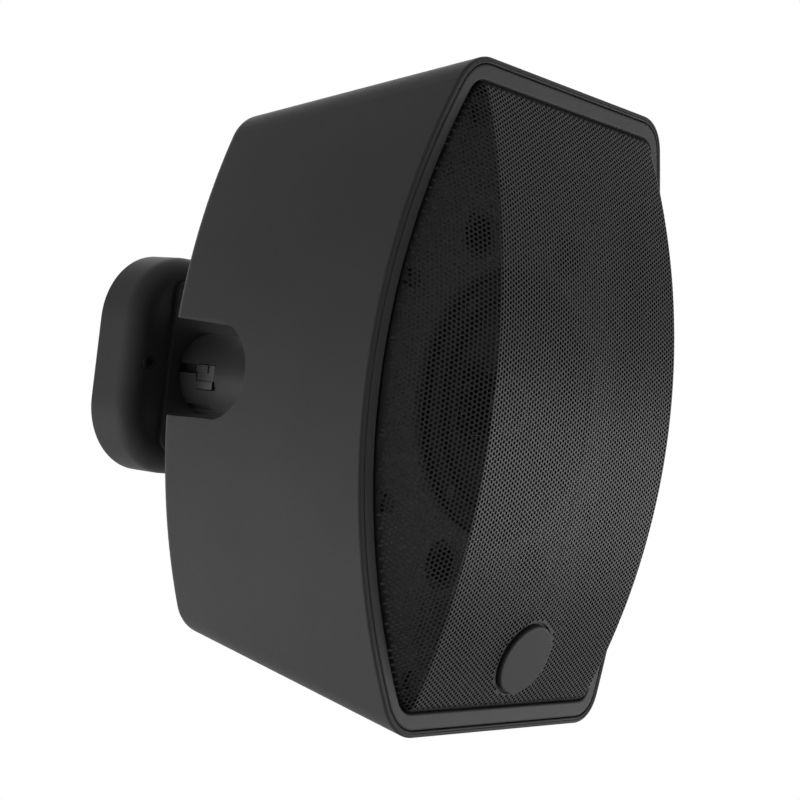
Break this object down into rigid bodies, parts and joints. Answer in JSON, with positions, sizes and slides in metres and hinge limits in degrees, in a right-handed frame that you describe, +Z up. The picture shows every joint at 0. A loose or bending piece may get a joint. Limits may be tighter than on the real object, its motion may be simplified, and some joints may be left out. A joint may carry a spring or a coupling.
{
  "type": "surface-mount speaker",
  "caption": "Black barrel-shaped surface-mount speaker with a bulged perforated grille, a round bare badge and a short wall arm on a rounded wall plate that lets it pan.",
  "frame": {"origin": "centre of the wall plate, on the wall", "axes": "+Y into the wall, the speaker faces -Y, +Z up"},
  "size_m": [0.1798, 0.2269, 0.2436],
  "materials": {
    "cabinet_plastic": "fine matt moulded texture, charcoal black",
    "bezel_plastic": "satin moulded",
    "grille_paint": "powder-coated perforated steel",
    "badge_plastic": "satin moulded, bare",
    "mount_plastic": "fine matt moulded texture",
    "arm_metal": "powder-coated cast arm",
    "foam_rubber": "matt",
    "black_screw": "black zinc",
    "zinc_steel": "zinc plated",
    "cone_polymer": "matt black cone",
    "spider_cloth": "treated cloth",
    "copper_wire": "enamelled copper",
    "ferrite": "sintered, matt",
    "tweeter_black": "satin",
    "dome_silk": "coated fabric dome",
    "board_laminate": "circuit board",
    "film_capacitor": "wrapped film",
    "core_steel": "laminated steel",
    "panel_plastic": "satin moulded",
    "acetal": "acetal, smooth",
    "insert_brass": "turned"
  },
  "bodies": {
    "mount": {"mount_cover": "mount_plastic", "arm_retainer": "zinc_steel", "lock_screws": "black_screw", "wall_bracket": "zinc_steel", "cover_screws": "black_screw"},
    "arm": {"mount_arm": "arm_metal", "arm_latch": "acetal", "pan_bush_upper": "acetal", "pan_bush_lower": "acetal"},
    "speaker": {"cabinet": "cabinet_plastic", "front_baffle": "bezel_plastic", "baffle_gasket": "foam_rubber", "baffle_screws": "black_screw", "grille": "grille_paint", "badge_seat": "badge_plastic", "port_tubes": "panel_plastic", "woofer_basket": "black_screw", "woofer_gasket": "foam_rubber", "woofer_screws": "black_screw", "woofer_surround": "foam_rubber", "woofer_spider": "spider_cloth", "front_plate": "zinc_steel", "magnet_ring": "ferrite", "pole_yoke": "zinc_steel", "tweeter_post": "tweeter_black", "tweeter_housing": "tweeter_black", "tweeter_ring": "tweeter_black", "tweeter_dome": "dome_silk", "crossover_board": "board_laminate", "crossover_coil": "copper_wire", "crossover_capacitors": "film_capacitor", "transformer_core": "core_steel", "transformer_coil": "copper_wire", "terminal_panel": "panel_plastic", "terminal_block": "panel_plastic", "panel_screws": "black_screw", "tap_switch": "panel_plastic", "safety_insert": "insert_brass", "pan_pin": "zinc_steel"},
    "cone": {"woofer_cone": "cone_polymer", "voice_coil": "copper_wire"},
    "badge": {"badge_disc": "badge_plastic"},
    "tap": {"tap_knob": "panel_plastic"}
  },
  "joints": [
    {"name": "arm_roll", "type": "hinge", "parent": "mount", "child": "arm", "pos_m": [0, -0.02, -0.0018], "axis": [0, 1, 0], "range_deg": [-90, 90]},
    {"name": "pan", "type": "hinge", "parent": "arm", "child": "speaker", "pos_m": [0, -0.1185, -0.0018], "axis": [0, 0, 1], "range_deg": [-85, 85]},
    {"name": "cone_travel", "type": "slide", "parent": "speaker", "child": "cone", "axis": [0, -1, 0], "range_m": [-0.003, 0.003], "stiffness_N_per_m": 1500, "deforming": ["woofer_surround", "woofer_spider"]},
    {"name": "badge_turn", "type": "hinge", "parent": "speaker", "child": "badge", "pos_m": [0, -0.21141, -0.0952], "axis": [0, -0.9464, -0.3229], "range_deg": [-90, 90]},
    {"name": "tap_select", "type": "hinge", "parent": "speaker", "child": "tap", "pos_m": [0.017, -0.094, -0.0538], "axis": [0, 1, 0], "range_deg": [-75, 75]}
  ]
}
